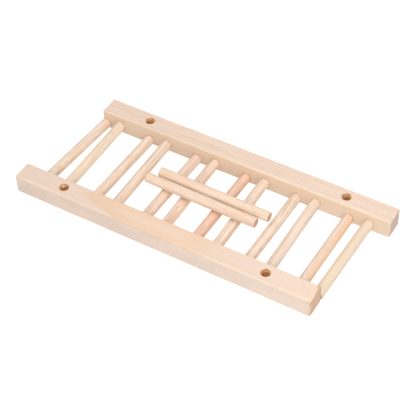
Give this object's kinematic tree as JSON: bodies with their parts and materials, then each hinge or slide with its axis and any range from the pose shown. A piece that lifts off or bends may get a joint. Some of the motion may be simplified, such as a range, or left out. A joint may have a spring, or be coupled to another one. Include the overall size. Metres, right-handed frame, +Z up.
{
  "type": "ladder toss frame",
  "caption": "Flat wooden ladder frame of square rails joined by pairs of round rungs, with upright peg holes and loose round pegs lying across the rungs.",
  "frame": {"origin": "midway between the rails, at the middle of the whole frame's length, on the surface that the frame lies on", "axes": "+X along the rails to the right, +Y from the front rail to the rear rail, +Z up"},
  "size_m": [0.4266, 0.1768, 0.029],
  "materials": {
    "front_rail_wood": "bare sanded softwood, open straight grain, no varnish",
    "rear_rail_wood": "bare sanded softwood, open straight grain, no varnish",
    "cream_rung_wood": "bare sanded softwood, open straight grain, no varnish",
    "straw_rung_wood": "bare sanded softwood, open straight grain, no varnish",
    "rose_rung_wood": "bare sanded softwood, open straight grain, no varnish",
    "amber_rung_wood": "bare sanded softwood, open straight grain, no varnish",
    "peg_wood": "bare sanded softwood, open straight grain, no varnish"
  },
  "bodies": {
    "frame": {"front_rail": "front_rail_wood", "rear_rail": "rear_rail_wood", "rung_01": "cream_rung_wood", "rung_02": "straw_rung_wood", "rung_03": "cream_rung_wood", "rung_04": "cream_rung_wood", "rung_05": "rose_rung_wood", "rung_06": "rose_rung_wood", "rung_07": "amber_rung_wood", "rung_08": "cream_rung_wood", "rung_09": "rose_rung_wood", "rung_10": "cream_rung_wood", "rung_11": "straw_rung_wood", "rung_12": "straw_rung_wood"},
    "front_loose_peg": {"front_peg": "peg_wood"},
    "rear_loose_peg": {"rear_peg": "peg_wood"}
  },
  "joints": [
    {"name": "front_peg_lift", "type": "slide", "parent": "frame", "child": "front_loose_peg", "axis": [0, 0, 1], "range_m": [0, 0.08]},
    {"name": "rear_peg_lift", "type": "slide", "parent": "frame", "child": "rear_loose_peg", "axis": [0, 0, 1], "range_m": [0, 0.08]}
  ]
}
